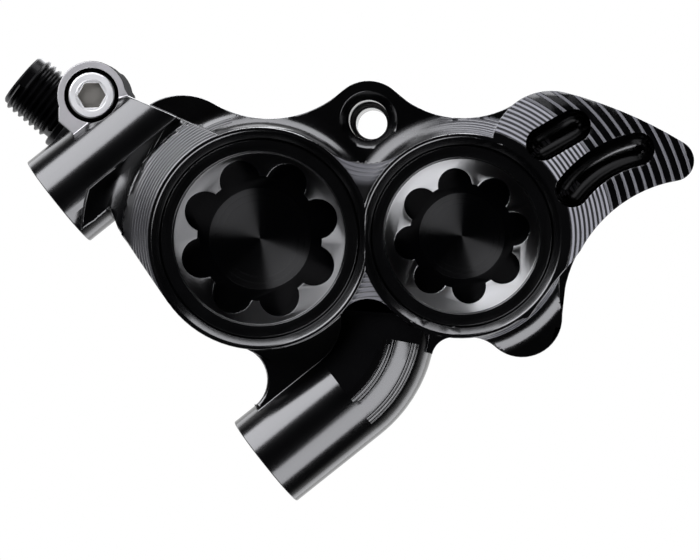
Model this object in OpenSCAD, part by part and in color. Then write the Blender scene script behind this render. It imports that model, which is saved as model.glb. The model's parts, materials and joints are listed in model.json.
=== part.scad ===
// Four-piston flat-mount disc brake caliper for a bicycle.
// Frame: origin midway between the two mounting bolts on the mounting face,
// +X along the bolt line, +Z up off the mounting face, +Y towards the wheel.

/* [Mounting] */
// Distance between the two mounting bolts
bolt_spacing = 34; // [33:0.5:37]
// Diameter of the mounting posts
post_d = 10.3; // [9.6:0.1:11]
// Diameter of the threaded bolt holes
bolt_hole_d = 4.2; // [3.8:0.1:5]
// Depth of the threaded bolt holes
bolt_hole_depth = 7; // [6:0.5:8]
// Large bore axis along the bolt line, from the middle of the bolts
large_bore_x = -1.1; // [-2:0.1:0]
// Large bore axis above the mounting face
large_bore_z = 13.9; // [13.5:0.1:15]
// Angle between the line of the bores and the mounting face
line_tilt = 52.2; // [50:0.1:54]
// Straight length of the rear post before its elbow
rear_post_straight = 11; // [10:0.5:12]
// Bend radius of the rear post at its centre line
rear_post_bend = 9.9; // [9:0.1:11]

/* [Pistons] */
// Diameter of the two large pistons
large_piston_d = 18; // [17:0.1:18.4]
// Diameter of the two small pistons
small_piston_d = 16; // [15:0.1:16.4]
// Distance between the two bore axes
piston_pitch = 20.5; // [20.3:0.1:21.5]
// Length of a piston
piston_length = 8.2; // [7.5:0.1:9]
// Wall of a piston cup
piston_wall = 1.6; // [1.2:0.1:2]
// Thickness of the insulating insert
insert_t = 3; // [2:0.1:4]
// How far a retracted piston stands out of its bore
piston_proud = 0.3; // [0.1:0.05:0.5]
// Room for fluid behind a retracted piston
chamber_gap = 0.6; // [0.5:0.05:1]
// Width of a piston seal
seal_w = 2; // [1.6:0.1:2.4]
// Radial thickness of a piston seal
seal_t = 1.1; // [0.9:0.05:1.2]
// Bore length between the pad pocket and the seal groove
seal_inset = 1.6; // [1.2:0.1:2]

/* [Pads and rotor] */
// Rotor plane inboard of the bolt axes
rotor_offset = 12; // [11:0.1:13]
// Diameter of the rotor
rotor_d = 160; // [158:1:162]
// Radius of the bore line on the rotor
track_r = 72; // [71.5:0.1:72.5]
// Gap between the linings at rest
pad_gap = 2.4; // [2.2:0.1:3]
// Thickness of a lining
lining_t = 1.9; // [1.5:0.1:2.2]
// Thickness of a back plate
plate_t = 1.8; // [1.6:0.1:2]
// Height of a back plate
plate_h = 16.6; // [16:0.1:17]
// How far a back plate reaches past the pistons
plate_margin = 0.4; // [0.2:0.05:0.6]
// Bare edge of a back plate round its lining
lining_margin = 1; // [0.8:0.05:1.3]
// Width of the back plate tab
tab_w = 7.6; // [7:0.1:7.8]
// Thickness of the pad spring sheet
spring_t = 0.4; // [0.3:0.05:0.5]
// Reach of each spring arm from the pad pin
spring_reach = 9; // [8:0.1:9.2]
// Width of the rotor slot through the ends of the body
rotor_slot_w = 5; // [4.5:0.1:5.5]
// Room above the rotor's edge
rotor_room = 1.5; // [1.2:0.1:1.8]

/* [Bore caps] */
// Diameter of the large bore cap
large_cap_d = 20.2; // [19.8:0.1:20.4]
// Diameter of the small bore cap
small_cap_d = 18.4; // [18:0.1:18.6]
// Height of a cap from its inner end to its rim
cap_t = 3.6; // [3.4:0.1:4]
// Threaded height of a cap under its rim
cap_thread_h = 1.9; // [1.7:0.1:2]
// Depth of the rim below the lip of the collar
cap_recess = 1; // [0.8:0.1:1.3]
// Width of the flat rim of a cap
cap_rim_w = 1.25; // [1:0.05:1.4]
// Depth of the turned face inside the rim
cap_face_depth = 0.4; // [0.3:0.05:0.5]
// Depth of the lobed socket
cap_socket_depth = 1.3; // [1.1:0.1:1.5]
// Number of lobes in a socket
cap_lobes = 8; // [6:1:8]
// Reach of the lobes in the large cap
large_lobe_reach = 8.2; // [7.8:0.1:8.4]
// Reach of the lobes in the small cap
small_lobe_reach = 6.9; // [6.6:0.1:7.3]
// Turn of the large cap's socket
large_cap_turn = 18; // [0:1:45]
// Turn of the small cap's socket
small_cap_turn = 7; // [0:1:45]
// Thickness of the sealing ring under a cap
cap_ring_d = 1; // [0.9:0.05:1.05]

/* [Body] */
// Wall of a collar at its lip
collar_wall = 1.15; // [1:0.05:1.3]
// Height of the collars above the face behind them
collar_rise = 6.8; // [6:0.1:7.5]
// Radius of the hollow at the foot of a collar
cove_r = 2.6; // [2:0.1:3]
// Floor behind the inboard pistons
back_wall = 2.6; // [2.2:0.1:3.5]
// Step from the collar lip down to the tip of the tail
tail_drop = 5.6; // [5:0.1:6]
// Number of fine terraces beside the collar
fine_terraces = 10; // [6:1:12]
// Number of coarse terraces on the tail
coarse_terraces = 8; // [6:1:10]
// Tail tip along the bore line, from the small bore
tail_reach = 21.7; // [21:0.1:23]
// Tail tip above the bore line
tail_rise = 7.4; // [7:0.1:8]
// Radius of the tail tip
tail_tip_r = 2.1; // [1.8:0.1:2.4]
// Width of the pockets milled in the tail
tail_pocket_w = 3.4; // [3:0.1:3.6]
// Pad pin hole above the bore line
pin_rise = 12; // [11.8:0.1:12.4]
// Diameter of the pad pin hole in the outboard half
pin_hole_d = 4.1; // [3.6:0.1:4.4]
// Diameter of the threaded pad pin hole in the inboard half
pin_thread_d = 3.3; // [3:0.1:3.5]
// Radius of the pad pin boss
pin_boss_r = 4; // [3.8:0.1:4.4]

/* [Bleed screw] */
// Bleed screw from the large bore, along the bore line
bleed_back = 17; // [16.5:0.1:17.5]
// Bleed screw above the bore line
bleed_rise = 14.8; // [14.5:0.1:15.2]
// Face of the bleed boss above the bolt axes
bleed_face_w = 3; // [2.6:0.1:3.4]
// Radius of the bleed boss
bleed_boss_r = 3.5; // [3.3:0.1:3.8]
// Diameter of the bleed screw's head
bleed_head_d = 4.7; // [4.4:0.1:4.9]
// Height of the bleed screw's head
bleed_head_h = 1.3; // [1.2:0.1:1.6]
// Diameter of the bleed screw's thread
bleed_thread_d = 3.8; // [3.5:0.1:3.9]
// Length of the bleed screw's thread
bleed_thread_l = 3.6; // [3.2:0.1:3.9]
// Size of the hex socket across its flats
bleed_hex = 2.5; // [2:0.1:2.5]
// Thickness of the sealing ring under the head
bleed_ring_d = 0.6; // [0.5:0.05:0.65]

/* [Hose connector] */
// Dip of the hose axis below the bolt line
hose_dip = 11.6; // [8:0.1:14]
// End of the connector ahead of the middle of the bolts
hose_end_x = -29.85; // [-30.5:0.05:-29]
// End of the connector above the mounting face
hose_end_z = 4.5; // [4:0.1:5]
// Connector axis inboard of the bolt axes
hose_y = 8.2; // [8:0.1:8.6]
// Outside diameter of the connector's thread
hose_thread_d = 6.5; // [6.2:0.1:6.8]
// Pitch of the connector's thread
hose_thread_pitch = 0.72; // [0.6:0.02:0.8]
// Number of thread crests
hose_thread_crests = 8; // [6:1:8]
// Bore of the connector
hose_bore_d = 3.2; // [2.6:0.1:3.4]
// Diameter of the spigot that screws into the body
hose_spigot_d = 5; // [4.6:0.1:5.2]
// Length of that spigot
hose_spigot_l = 4.4; // [4:0.1:4.8]
// Thickness of the crush washer
hose_washer_t = 0.8; // [0.6:0.1:1]

/* [Hidden] */
$fn = 96;

// Clearances
eps = 0.01;
running_fit = 0.05;
seal_fit = 0.02;
seat_gap = 0.05;
pocket_gap = 0.3;
through = 60;
over = 1;
boss_clear = 0.5;

// Radii of the bores, caps and collars
large_r = large_piston_d / 2;
small_r = small_piston_d / 2;
large_cap_r = large_cap_d / 2;
small_cap_r = small_cap_d / 2;
large_collar_r = large_cap_r + collar_wall;
small_collar_r = small_cap_r + collar_wall;
lip_chamfer = 0.75;
lobe_share = 0.25;
valley_share = 0.77;
floor_rings = 3;
floor_ring_h = 0.15;
floor_ring_reach = 0.92;
floor_ring_step = 0.1;

// Drilled passages
gallery_share = 0.4;
bleed_at = [-bleed_back, bleed_rise];
gallery_at = bleed_at * (1 - gallery_share);
gallery_d = 2;
passage_d = 1;
plug_d = 4;
plug_l = 4;
plug_hex = 2;
plug_hex_depth = 2.2;
plug_inset = 0.3;

// Stations along the bore axes, w, which points outboard from the bolt axes
pocket_half = pad_gap / 2 + lining_t + plate_t + piston_proud;
rotor_w = -rotor_offset;
outer_wall_w = rotor_w + pocket_half;
inner_wall_w = rotor_w - pocket_half;
outer_face_w = outer_wall_w - piston_proud;
inner_face_w = inner_wall_w + piston_proud;
cap_end_w = outer_face_w + piston_length + chamber_gap;
rim_w = cap_end_w + cap_t;
cap_step_w = rim_w - cap_thread_h - cap_ring_d - 2 * seat_gap;
lip_w = rim_w + cap_recess;
front_w = lip_w - collar_rise;
inner_floor_w = inner_face_w - piston_length - chamber_gap;
back_w = inner_floor_w - back_wall;
outer_chamber_w = cap_end_w - passage_d / 2;
inner_chamber_w = inner_floor_w + passage_d / 2;

// Pin boss from the middle of the bores
pin_shift = 0.85;

// Rounds of the outline, each as [u, v, radius] from the large bore
large_round = [0, 0, large_collar_r];
small_round = [piston_pitch, 0, small_collar_r];
pin_round = [piston_pitch / 2 + pin_shift, pin_rise, pin_boss_r];
front_round = [-8, 8.4, 6.4];
rear_round_reach = 9.2;
foot_round_reach = 6.05;
rear_round = [piston_pitch + rear_round_reach, 8.5, 6.1];
foot_round = [piston_pitch + foot_round_reach, -8.4, 4.1];
tip_round = [piston_pitch + tail_reach, tail_rise, tail_tip_r];
front_valley_r = 11.2;
rear_valley_r = 10.2;
collar_valley_r = 6.4;
collar_underside_r = 3;
flank_r = 14;
foot_hollow_r = 4;
tail_back_r = 46;
front_flank_r = 8;

// Rear post: the round of its elbow, and the hollows that lead from it into the two collars
rear_post_turn = 80;
elbow_at = to_bores(bolt_spacing / 2 - rear_post_bend, rear_post_straight);
elbow_round = concat(elbow_at, [rear_post_bend + post_d / 2]);
web_hollow_r = 3.4;
web_hollow_x = bolt_spacing / 2 - post_d / 2 - web_hollow_r;
web_hollow_z = large_bore_z
    - sqrt(pow(large_collar_r + web_hollow_r, 2) - pow(web_hollow_x - large_bore_x, 2));
web_hollow = to_bores(web_hollow_x, web_hollow_z);
web_outer_r = 2.2;
web_rise = 3;
web_front_w = front_w + web_rise;
front_post_l = 24;

// Flare between the large collar and the front post
flare_corner = [-14.4, 1.2];
flare_touch = atan2(flare_corner[1], flare_corner[0]) + acos(large_collar_r / norm(flare_corner));
flare_edge = [
    flare_corner, large_collar_r * [cos(flare_touch), sin(flare_touch)],
    [0, 0], [-3.9, 10.5], [-13.3, 14.7], [-17.4, 9]
];
flare_bend = [3.4, -2.3];
flare_foot = [10, -3.3];
flare_profile = [[0, 0], for (p = [[0, 0], flare_bend, flare_foot]) [large_collar_r, 0] + p];

// Terraces of the tail
terrace_gap = 0.2;
terrace_start = small_collar_r + terrace_gap;
fine_pitch = 0.47;
coarse_pitch = 0.98;
fine_drop = 0.2;
coarse_drop = (tail_drop - fine_terraces * fine_drop) / coarse_terraces;
coarse_land = 0.3;

// Edge where the terraces end above the foot
terrace_end = [[9.1, -5.1], [13, -0.4], [16, -4], [10, -14], [4, -12]];

// Pockets of the tail: centres of their ends, and depths below the lip
upper_pocket_ends = [[8.3, 9.2], [11.5, 11]];
upper_pocket = [for (end = upper_pocket_ends) [piston_pitch, 0] + end];
lower_pocket_reach = [20.2, -2.7];
lower_pocket_centre = [piston_pitch, 0] + lower_pocket_reach;
lower_pocket_bend = 11.5;
lower_pocket_from = 101;
lower_pocket_to = 141.5;
tail_pocket_depth = 4.6;
tail_pocket_groove = 0.8;
tail_pocket_groove_w = 2;

// Pad spring
spring_clear = 0.1;
spring_arm_h = 1;
leg_inset = 1;
bridge_rise = 1.1;

// Pin hole
pin_chamfer = 0.9;
pad_pin_play = 0.25;

// Bleed screw
bleed_recess_d = 5.5;
bleed_socket_d = 3.2;
bleed_hex_depth = 2;
bleed_socket_depth = 0.4;
bleed_ring_r = bleed_thread_d / 2 + bleed_ring_d / 2 + seat_gap;
bleed_seat_w = bleed_face_w - bleed_head_h - bleed_ring_d - 2 * seat_gap;
bleed_port_w = bleed_seat_w - bleed_thread_l + passage_d / 2;
bleed_web = [[-20.4, 13.6], [-20.4, 12.2], [-17.4, 9.5], [-12.6, 12], [-13.3, 15], [-15.2, 17.8]];

// Hose connector, measured from its outer end
hose_thread_l = hose_thread_pitch * (hose_thread_crests + 0.5);
hose_thread_depth = 0.42;
hose_thread_start = 0.25;
hose_thread_corners = [0, 0.25, 0.4, 0.65];
hose_flange_t = 0.8;
hose_flange_d = hose_thread_d + 0.7;
hose_lug_d = hose_thread_d + 2.1;
hose_lug_at = hose_thread_l + hose_flange_t + hose_washer_t;
hose_lug_l = 6.6;
hose_lug_taper = 2.4;
hose_hole_l = hose_lug_at + hose_spigot_l + over;
bleed_boss_low_w = hose_lug_d / 2 - hose_y + boss_clear;
hose_seat_d = 4.6;
hose_gallery_d = 1.6;

// Where two circles cross, on the left of the way from a to b for side 1
function crossing(a, ra, b, rb, side) =
    let (
        way = [b[0] - a[0], b[1] - a[1]],
        gap = norm(way),
        along = (ra * ra - rb * rb + gap * gap) / (2 * gap),
        off = side * sqrt(ra * ra - along * along)
    )
    [
        a[0] + (way[0] * along - way[1] * off) / gap,
        a[1] + (way[1] * along + way[0] * off) / gap
    ];

function centre(round) = [round[0], round[1]];

// A point of the bolt plane in the frame of the bores
function to_bores(x, z) =
    let (dx = x - large_bore_x, dz = z - large_bore_z)
    [dx * cos(line_tilt) + dz * sin(line_tilt), dz * cos(line_tilt) - dx * sin(line_tilt)];

// The point of the hose axis at the given depth from the connector's end, in the frame of the bores
function hose_point(depth) =
    to_bores(hose_end_x + depth * cos(hose_dip), hose_end_z + depth * sin(hose_dip));

// Places children in the frame of the bores: u along the bore line, v up from the rotor, w outboard
module at_bores() {
    translate([large_bore_x, 0, large_bore_z])
        rotate([0, -line_tilt, 0])
            rotate([90, 0, 0])
                children();
}

// Places children on a bore axis
module on_bore(pitch) {
    translate([pitch, 0, 0])
        children();
}

// Places children with +Z along the hose, outwards, and the connector's end at the origin
module at_hose() {
    translate([hose_end_x, hose_y, hose_end_z])
        rotate([0, -90 - hose_dip, 0])
            children();
}

module span(from_w, to_w) {
    translate([0, 0, from_w])
        linear_extrude(to_w - from_w)
            children();
}

module ring_of(outer_r, inner_r, from_w, to_w) {
    difference() {
        translate([0, 0, from_w])
            cylinder(r = outer_r, h = to_w - from_w);
        translate([0, 0, from_w - over])
            cylinder(r = inner_r, h = to_w - from_w + 2 * over);
    }
}

module hex_bar(flats, from_w, to_w) {
    translate([0, 0, from_w])
        cylinder(d = flats / cos(30), h = to_w - from_w, $fn = 6);
}

module sealing_ring(mid_r, section_d) {
    rotate_extrude()
        translate([mid_r, 0])
            circle(d = section_d, $fn = 48);
}

// A straight drilling between two points
module drilling(from, to, d) {
    way = to - from;
    tilt = acos(way[2] / norm(way));
    turn = atan2(way[1], way[0]);
    translate(from)
        rotate([0, tilt, turn])
            cylinder(d = d, h = norm(way), $fn = 48);
}

module disc(round) {
    translate(centre(round))
        circle(r = round[2]);
}

// A hollow arc that runs smoothly from one round to the next
module hollow_blend(a, b, r, side) {
    mid = crossing(a, a[2] + r, b, b[2] + r, side);
    difference() {
        polygon([centre(a), centre(b), mid]);
        translate(mid)
            circle(r = r);
    }
}

// A full arc that runs smoothly from one round to the next
module full_blend(a, b, r, side) {
    mid = crossing(a, r - a[2], b, r - b[2], side);
    to_a = (centre(a) - mid) / norm(centre(a) - mid);
    to_b = (centre(b) - mid) / norm(centre(b) - mid);
    intersection() {
        polygon([centre(a), mid + to_a * through, mid + to_b * through, centre(b)]);
        translate(mid)
            circle(r = r, $fn = 360);
    }
}

// Outline that both halves of the body share
module core_outline() {
    disc(large_round);
    disc(small_round);
    disc(pin_round);
    disc(front_round);
    disc(rear_round);
    disc(foot_round);
    hollow_blend(front_round, pin_round, front_valley_r, 1);
    hollow_blend(pin_round, rear_round, rear_valley_r, 1);
    hollow_blend(foot_round, rear_round, flank_r, -1);
    hollow_blend(foot_round, small_round, foot_hollow_r, 1);
    hollow_blend(front_round, large_round, front_flank_r, -1);
    hollow_blend(large_round, small_round, collar_underside_r, -1);
    polygon([for (r = [front_round, pin_round, rear_round, foot_round, small_round, large_round]) centre(r)]);
}

// Outline of the tail, with the part of the body that it grows out of
module tail_outline() {
    difference() {
        union() {
            disc(tip_round);
            disc(rear_round);
            full_blend(rear_round, tip_round, tail_back_r, -1);
            hollow_blend(foot_round, tip_round, flank_r, -1);
            polygon([for (r = [small_round, rear_round, tip_round, foot_round]) centre(r)]);
        }
        translate(crossing(foot_round, foot_round[2] + flank_r, tip_round, tail_tip_r + flank_r, -1))
            circle(r = flank_r);
    }
}

// Outline of the two collars, run together above and below
module collar_outline() {
    disc(large_round);
    disc(small_round);
    hollow_blend(large_round, small_round, collar_valley_r, 1);
    hollow_blend(large_round, small_round, collar_underside_r, -1);
    polygon([
        centre(large_round), centre(small_round),
        centre(pin_round) - [0, pin_boss_r + collar_valley_r]
    ]);
}

// Hollow foot of a collar
module cove(collar_r) {
    rotate_extrude()
        difference() {
            translate([0, front_w - eps])
                square([collar_r + cove_r, cove_r + eps]);
            translate([collar_r + cove_r, front_w + cove_r])
                circle(r = cove_r);
        }
}

// Terraced dome of the tail, turned about the small bore
function terraces() = concat(
    [[0, outer_wall_w], [0, lip_w]],
    [for (i = [0 : fine_terraces - 1], corner = [0, 1])
        [terrace_start + (i + 1) * fine_pitch - (1 - corner) * eps, lip_w - (i + corner) * fine_drop]],
    [for (i = [0 : coarse_terraces - 1], corner = [0, 1])
        let (r = terrace_start + fine_terraces * fine_pitch + i * coarse_pitch)
        [r + coarse_land + corner * (coarse_pitch - coarse_land),
            lip_w - fine_terraces * fine_drop - (i + corner) * coarse_drop]],
    [[piston_pitch + tail_reach, lip_w - tail_drop], [piston_pitch + tail_reach, outer_wall_w]]
);

// Pockets milled in the tail, each with a narrower groove along its floor
module tail_pockets() {
    floor_w = lip_w - tail_pocket_depth;
    span(floor_w, lip_w + over)
        pocket_outline(tail_pocket_w);
    span(floor_w - tail_pocket_groove, floor_w + eps)
        pocket_outline(tail_pocket_groove_w);
}

module pocket_outline(w) {
    upper_way = upper_pocket[1] - upper_pocket[0];
    for (end = upper_pocket)
        translate(end)
            circle(d = w);
    translate(upper_pocket[0])
        rotate(atan2(upper_way[1], upper_way[0]))
            translate([0, -w / 2])
                square([norm(upper_way), w]);
    translate(lower_pocket_centre) {
        for (a = [lower_pocket_from, lower_pocket_to])
            rotate(a)
                translate([lower_pocket_bend, 0])
                    circle(d = w);
        intersection() {
            difference() {
                circle(r = lower_pocket_bend + w / 2);
                circle(r = lower_pocket_bend - w / 2);
            }
            polygon(concat([[0, 0]], [for (a = [lower_pocket_from, lower_pocket_to])
                2 * lower_pocket_bend * [cos(a), sin(a)]]));
        }
    }
}

module tail() {
    difference() {
        union() {
            span(outer_wall_w, front_w)
                tail_outline();
            intersection() {
                span(front_w - eps, lip_w)
                    difference() {
                        tail_outline();
                        translate(centre(small_round))
                            polygon(terrace_end);
                    }
                on_bore(piston_pitch)
                    rotate_extrude()
                        polygon(terraces());
            }
        }
        tail_pockets();
    }
}

module flare() {
    intersection() {
        span(outer_wall_w, lip_w)
            polygon(flare_edge);
        rotate_extrude()
            polygon(concat(
                [for (p = flare_profile) [p[0], lip_w + p[1]]],
                [[large_collar_r + flare_foot[0], outer_wall_w], [0, outer_wall_w]]
            ));
    }
}

// Front post, straight into the body and cut off along the upper edge of the flare
module front_post() {
    intersection() {
        translate([-bolt_spacing / 2, 0, 0])
            cylinder(d = post_d, h = front_post_l);
        at_bores()
            span(-post_d, post_d)
                polygon([flare_edge[3], flare_edge[4], [-through, 0], [0, -through]]);
    }
}

// Rear post, straight and then bent up between the bores
module rear_post() {
    translate([bolt_spacing / 2, 0, 0]) {
        cylinder(d = post_d, h = rear_post_straight);
        translate([-rear_post_bend, 0, rear_post_straight])
            rotate([90, 0, 0])
                rotate_extrude(angle = rear_post_turn)
                    translate([rear_post_bend, 0])
                        circle(d = post_d);
    }
}

// Web that fills the corners between the rear post and the collars
module rear_web() {
    span(outer_wall_w, web_front_w) {
        difference() {
            polygon([web_hollow, centre(large_round), centre(elbow_round),
                to_bores(bolt_spacing / 2, rear_post_straight), to_bores(bolt_spacing / 2, web_hollow_z)]);
            translate(web_hollow)
                circle(r = web_hollow_r);
        }
        hollow_blend(elbow_round, small_round, web_outer_r, -1);
        polygon([centre(large_round), centre(small_round), centre(elbow_round)]);
        translate(centre(elbow_round))
            rotate(-line_tilt)
                intersection() {
                    circle(r = rear_post_bend);
                    square(rear_post_bend);
                }
    }
}

module bleed_boss_outline() {
    disc([bleed_at[0], bleed_at[1], bleed_boss_r]);
    polygon(bleed_web);
}

// Boss of the bleed screw: it hangs over the connector and runs down into the lug behind it
module bleed_boss() {
    span(bleed_boss_low_w, bleed_face_w)
        bleed_boss_outline();
    span(-hose_y, bleed_face_w)
        intersection() {
            bleed_boss_outline();
            translate(hose_point(hose_lug_at))
                rotate(hose_dip - line_tilt)
                    translate([0, -through / 2])
                        square(through);
        }
}

// Round lug that takes the connector, tapered where it runs into the body
module hose_lug() {
    at_hose()
        translate([0, 0, -hose_lug_at - hose_lug_l]) {
            cylinder(d = hose_lug_d, h = hose_lug_l);
            translate([0, 0, -hose_lug_taper])
                cylinder(d1 = hose_spigot_d, d2 = hose_lug_d, h = hose_lug_taper);
        }
}

// Pad outline, grown by the given amount
module pad_outline(grow) {
    intersection() {
        translate([-through / 2, -plate_h / 2 - grow])
            square([2 * through, plate_h + 2 * grow]);
        union() {
            circle(r = large_r + plate_margin + grow);
            translate([piston_pitch, 0])
                circle(r = small_r + plate_margin + grow);
            translate([0, -plate_h / 2 - grow])
                square([piston_pitch, plate_h + 2 * grow]);
        }
    }
    translate([pin_round[0] - tab_w / 2 - grow, 0])
        square([tab_w + 2 * grow, pin_rise]);
    translate([pin_round[0], pin_rise])
        circle(d = tab_w + 2 * grow);
}

// Space for the pads and the rotor
module pad_space() {
    span(inner_wall_w, outer_wall_w) {
        pad_outline(pocket_gap);
        translate([-large_r - plate_margin - pocket_gap, -through])
            square([piston_pitch + large_r + small_r + 2 * (plate_margin + pocket_gap), through]);
        translate([pin_round[0] - tab_w / 2 - pocket_gap, 0])
            square([tab_w + 2 * pocket_gap, through]);
    }
    span(rotor_w - rotor_slot_w / 2, rotor_w + rotor_slot_w / 2)
        translate([piston_pitch / 2, -track_r])
            circle(d = rotor_d + 2 * rotor_room, $fn = 360);
}

// Bore of one pair of pistons, open outboard for its cap
module bore_cut(r, cap_r) {
    translate([0, 0, inner_floor_w])
        cylinder(r = r + running_fit, h = lip_w - inner_floor_w + over);
    translate([0, 0, cap_step_w])
        cylinder(r = cap_r + seat_gap, h = lip_w - cap_step_w + over);
    translate([0, 0, lip_w - lip_chamfer])
        cylinder(r1 = cap_r + seat_gap, r2 = cap_r + seat_gap + lip_chamfer, h = lip_chamfer + eps);
    for (w = [outer_wall_w + seal_inset, inner_wall_w - seal_inset - seal_w])
        translate([0, 0, w - seat_gap])
            cylinder(r = r + seal_fit + seal_t + seat_gap, h = seal_w + 2 * seat_gap);
}

module pin_hole() {
    translate([pin_round[0], pin_round[1], rotor_w])
        cylinder(d = pin_hole_d, h = through);
    translate([pin_round[0], pin_round[1], front_w - pin_chamfer])
        cylinder(d1 = pin_hole_d, d2 = pin_hole_d + 2 * pin_chamfer, h = pin_chamfer + eps);
    translate([pin_round[0], pin_round[1], back_w - over])
        cylinder(d = pin_thread_d, h = rotor_w - back_w + over);
}

module bolt_holes() {
    for (side = [-1, 1])
        translate([side * bolt_spacing / 2, 0, -over])
            cylinder(d = bolt_hole_d, h = bolt_hole_depth + over);
}

module bleed_hole() {
    translate([bleed_at[0], bleed_at[1], bleed_seat_w]) {
        cylinder(d = bleed_recess_d, h = through);
        translate([0, 0, -bleed_thread_l])
            cylinder(d = bleed_thread_d + 2 * running_fit, h = bleed_thread_l + over);
    }
}

// Drilled ways of the fluid between the ports, the bores and the two halves
module passages() {
    hose_end = hose_point(hose_hole_l - over);
    translate([gallery_at[0], gallery_at[1], back_w - over])
        cylinder(d = gallery_d, h = outer_chamber_w - back_w + over);
    translate([gallery_at[0], gallery_at[1], back_w - over])
        cylinder(d = plug_d + 2 * seat_gap, h = plug_l + plug_inset + over);
    drilling(concat(bleed_at, [bleed_port_w]), [0, 0, outer_chamber_w], passage_d);
    drilling(concat(gallery_at, [inner_chamber_w]), [0, 0, inner_chamber_w], passage_d);
    drilling(concat(hose_end, [-hose_y]), concat(gallery_at, [-hose_y]), hose_gallery_d);
    for (w = [outer_chamber_w, inner_chamber_w])
        drilling([0, 0, w], [piston_pitch, 0, w], passage_d);
}

module hose_hole() {
    at_hose()
        translate([0, 0, -hose_hole_l])
            cylinder(d = hose_spigot_d + 2 * seat_gap, h = hose_spigot_l + over + eps);
}

module caliper_body() {
    color("#17181a")
        difference() {
            union() {
                at_bores() {
                    span(back_w, front_w)
                        core_outline();
                    span(front_w - eps, lip_w)
                        collar_outline();
                    intersection() {
                        span(front_w - 2 * eps, lip_w)
                            core_outline();
                        union() {
                            cove(large_collar_r);
                            on_bore(piston_pitch)
                                cove(small_collar_r);
                        }
                    }
                    tail();
                    flare();
                    rear_web();
                    bleed_boss();
                }
                front_post();
                rear_post();
                hose_lug();
            }
            at_bores() {
                bore_cut(large_r, large_cap_r);
                on_bore(piston_pitch)
                    bore_cut(small_r, small_cap_r);
                pad_space();
                pin_hole();
                bleed_hole();
                passages();
            }
            bolt_holes();
            hose_hole();
        }
}

module cap(r, bore_r, lobe_reach, turn) {
    face_w = rim_w - cap_face_depth;
    floor_w = face_w - cap_socket_depth;
    lobe_r = lobe_reach * lobe_share;
    valley_r = lobe_reach * valley_share;
    edge = 0.15;
    difference() {
        union() {
            translate([0, 0, cap_end_w])
                cylinder(r = bore_r - seat_gap, h = cap_t - edge);
            translate([0, 0, rim_w - cap_thread_h])
                cylinder(r = r, h = cap_thread_h - edge);
            translate([0, 0, rim_w - edge])
                cylinder(r1 = r, r2 = r - edge, h = edge);
        }
        translate([0, 0, face_w])
            cylinder(r1 = r - cap_rim_w - edge, r2 = r - cap_rim_w, h = cap_face_depth + eps);
        span(floor_w, rim_w + over)
            rotate(turn) {
                circle(r = valley_r);
                for (i = [0 : cap_lobes - 1])
                    rotate(i * 360 / cap_lobes)
                        translate([lobe_reach - lobe_r, 0])
                            circle(r = lobe_r);
            }
        cap_floor_rings(floor_w, valley_r);
    }
}

// Turned steps in the floor of a socket
module cap_floor_rings(floor_w, valley_r) {
    for (i = [1 : floor_rings])
        translate([0, 0, floor_w - i * floor_ring_h])
            cylinder(r = valley_r * (floor_ring_reach - i * floor_ring_step), h = floor_ring_h + eps);
}

module large_bore_cap() {
    color("#141517")
        at_bores()
            cap(large_cap_r, large_r, large_lobe_reach, large_cap_turn);
}

module small_bore_cap() {
    color("#141517")
        at_bores()
            on_bore(piston_pitch)
                cap(small_cap_r, small_r, small_lobe_reach, small_cap_turn);
}

module cap_ring(bore_r, cap_r) {
    translate([0, 0, cap_step_w + seat_gap + cap_ring_d / 2])
        sealing_ring((bore_r + cap_r) / 2, cap_ring_d);
}

module large_cap_ring() {
    color("#202020")
        at_bores()
            cap_ring(large_r, large_cap_r);
}

module small_cap_ring() {
    color("#202020")
        at_bores()
            on_bore(piston_pitch)
                cap_ring(small_r, small_cap_r);
}

// A piston at w = 0 with its open mouth down
module piston(r) {
    edge = 0.3;
    difference() {
        union() {
            cylinder(r = r, h = piston_length - edge);
            translate([0, 0, piston_length - edge])
                cylinder(r1 = r, r2 = r - edge, h = edge);
        }
        translate([0, 0, -over])
            cylinder(r = r - piston_wall, h = piston_length - piston_wall + over);
    }
}

module piston_insert(r) {
    cylinder(r = r - piston_wall - seal_fit, h = insert_t);
}

module piston_seal(r) {
    ring_of(r + seal_fit + seal_t, r + seal_fit, 0, seal_w);
}

// Places a piston or insert in the outboard or inboard half
module in_half(outer, pitch) {
    at_bores()
        translate([pitch, 0, outer ? outer_face_w : inner_face_w])
            mirror([0, 0, outer ? 0 : 1])
                children();
}

module outer_large_piston() {
    color("#b9bbbd")
        in_half(true, 0)
            piston(large_r);
}

module outer_small_piston() {
    color("#b9bbbd")
        in_half(true, piston_pitch)
            piston(small_r);
}

module inner_large_piston() {
    color("#b9bbbd")
        in_half(false, 0)
            piston(large_r);
}

module inner_small_piston() {
    color("#b9bbbd")
        in_half(false, piston_pitch)
            piston(small_r);
}

module outer_large_insert() {
    color("#3a2a20")
        in_half(true, 0)
            piston_insert(large_r);
}

module outer_small_insert() {
    color("#3a2a20")
        in_half(true, piston_pitch)
            piston_insert(small_r);
}

module inner_large_insert() {
    color("#3a2a20")
        in_half(false, 0)
            piston_insert(large_r);
}

module inner_small_insert() {
    color("#3a2a20")
        in_half(false, piston_pitch)
            piston_insert(small_r);
}

module outer_seal(r, pitch) {
    color("#1c1c1c")
        at_bores()
            translate([pitch, 0, outer_wall_w + seal_inset])
                piston_seal(r);
}

module inner_seal(r, pitch) {
    color("#1c1c1c")
        at_bores()
            translate([pitch, 0, inner_wall_w - seal_inset - seal_w])
                piston_seal(r);
}

module outer_large_seal() {
    outer_seal(large_r, 0);
}

module outer_small_seal() {
    outer_seal(small_r, piston_pitch);
}

module inner_large_seal() {
    inner_seal(large_r, 0);
}

module inner_small_seal() {
    inner_seal(small_r, piston_pitch);
}

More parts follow.
